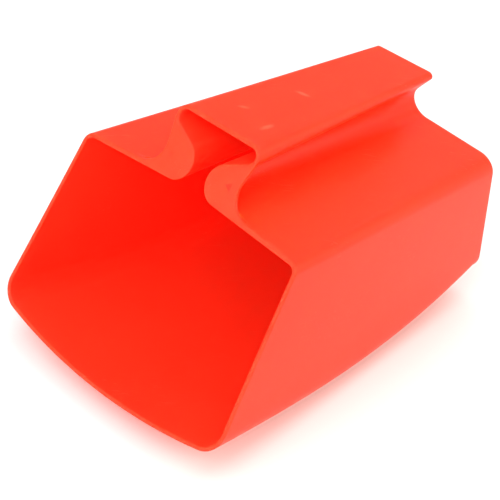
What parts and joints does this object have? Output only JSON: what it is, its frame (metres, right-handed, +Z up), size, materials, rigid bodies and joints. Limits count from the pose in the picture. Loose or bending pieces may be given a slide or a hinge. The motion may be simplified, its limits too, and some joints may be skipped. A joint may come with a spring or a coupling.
{
  "type": "hand bailer scoop",
  "caption": "Moulded plastic scoop with a wide slanted mouth, bowed bottom and hollow T-shaped top handle, for bailing water or scooping loose material.",
  "frame": {"origin": "on the floor, under the middle of the overall box, with the scoop standing as it rests on its bowed bottom", "axes": "+Z up; the mouth faces -Y and the back wall +Y; +X to the right seen from the mouth end; the part is symmetric about X = 0"},
  "size_m": [0.1626, 0.2754, 0.1582],
  "materials": {
    "shell": "satin orange-red moulded plastic"
  },
  "bodies": {
    "root": {"bailer_shell": "shell"}
  },
  "joints": []
}
